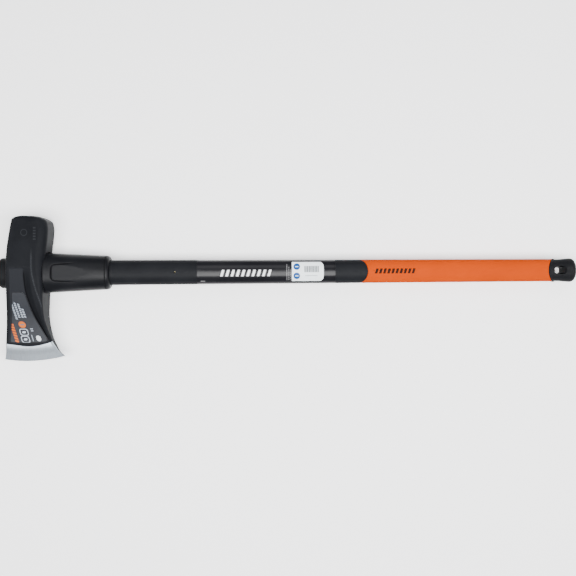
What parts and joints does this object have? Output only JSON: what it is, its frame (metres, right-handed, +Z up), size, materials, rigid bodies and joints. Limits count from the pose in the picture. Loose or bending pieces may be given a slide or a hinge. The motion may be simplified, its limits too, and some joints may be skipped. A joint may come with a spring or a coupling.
{
  "type": "splitting maul",
  "caption": "Two-handed splitting maul: forged wedge head with striking poll, overstrike guard, tapered black composite handle with orange grip and a drilled end cap.",
  "frame": {"origin": "centre of the bounding box, at the plane that the lower cheek rests on", "axes": "the maul lies on one cheek: +X from the head towards the end cap, +Y from the cutting edge towards the striking face, +Z up through the cheeks"},
  "size_m": [0.915, 0.2296, 0.06],
  "materials": {
    "painted_steel": "dark grey-black powder coat, bit ground bright",
    "sleeve_rubber": "dull black moulded elastomer",
    "black_nylon": "fine matt moulded black",
    "wedge_nylon": "plain moulded grey",
    "glass_fibre": "pultruded, faint lengthwise fibres",
    "shell_nylon": "fine matt moulded black",
    "guard_rubber": "satin black moulded elastomer",
    "orange_rubber": "soft matt orange overmould",
    "label_film": "gloss film, plain pale bars",
    "label_paper": "white coated label with plain marks",
    "cheek_print": "thin label on the painted cheek, plain marks"
  },
  "bodies": {
    "root": {"head": "painted_steel", "isolation_sleeve": "sleeve_rubber", "head_cap": "black_nylon", "core_wedge": "wedge_nylon", "handle_core": "glass_fibre", "handle_shell": "shell_nylon", "overstrike_guard": "guard_rubber", "grip": "orange_rubber", "end_cap": "black_nylon", "handle_film": "label_film", "stock_label": "label_paper", "cheek_label": "cheek_print"}
  },
  "joints": []
}
